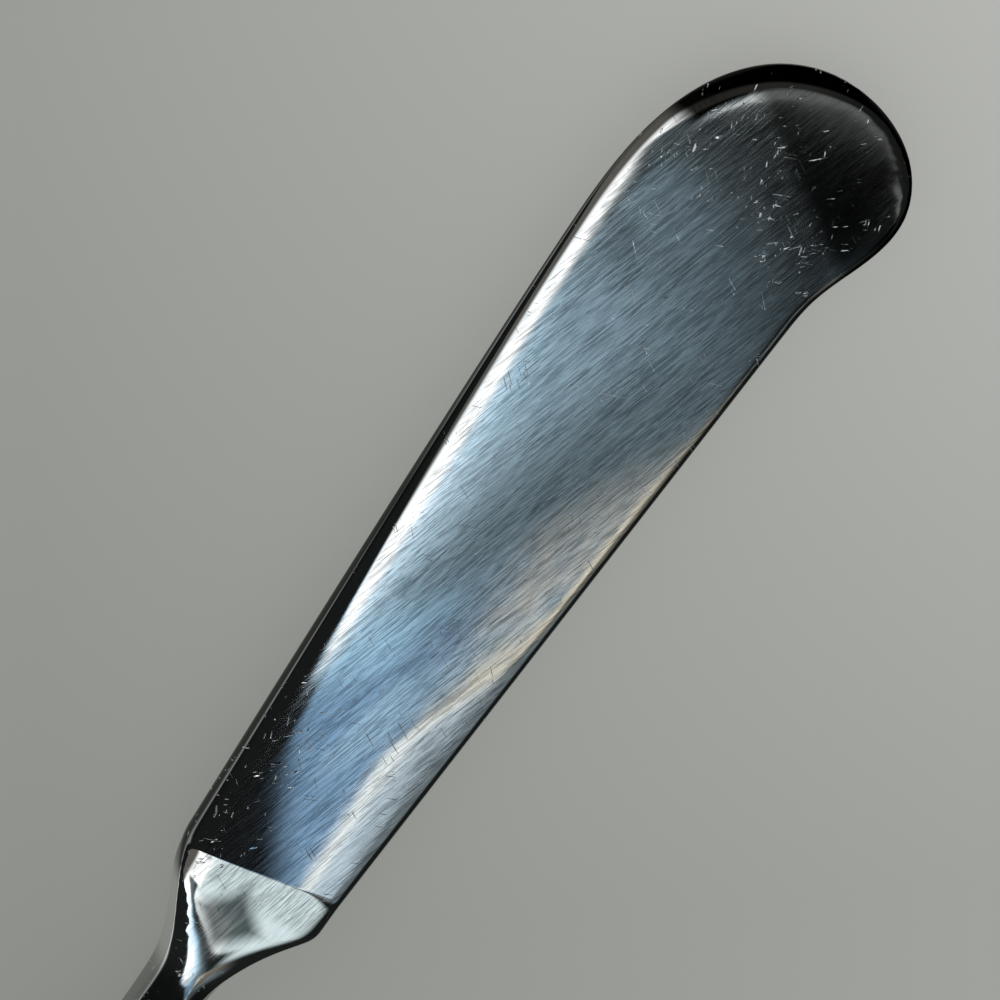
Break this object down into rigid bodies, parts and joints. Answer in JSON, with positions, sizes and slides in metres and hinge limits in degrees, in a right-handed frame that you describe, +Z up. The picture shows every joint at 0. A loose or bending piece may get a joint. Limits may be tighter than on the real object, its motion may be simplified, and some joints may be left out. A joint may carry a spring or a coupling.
{
  "type": "butter knife",
  "caption": "Butter knife with a broad, round-tipped forged blade, a slim neck and a smooth hollow handle that lies flat on its back.",
  "frame": {"origin": "centre of the narrow flat on the handle's underside, on which the knife rests", "axes": "+X along the knife from the butt to the blade's tip, +Y from the cutting edge side to the spine side, +Z up out of the blade's upper face"},
  "size_m": [0.1843, 0.0201, 0.0076],
  "materials": {
    "blade_steel": "stainless steel, finely brushed along the faces with polished, rounded rims; used, with hair scratches and nicks",
    "handle_steel": "stainless steel sheet, polished, with faint marks from use",
    "braze": "silver braze, ground and polished flush",
    "solder": "silver solder, ground and polished flush",
    "cement": "hard mineral cement, dull and gritty"
  },
  "bodies": {
    "root": {"blade": "blade_steel", "handle_front_shell": "handle_steel", "handle_back_shell": "handle_steel", "seam_braze": "braze", "bolster_solder": "solder", "tang_cement": "cement"}
  },
  "joints": []
}
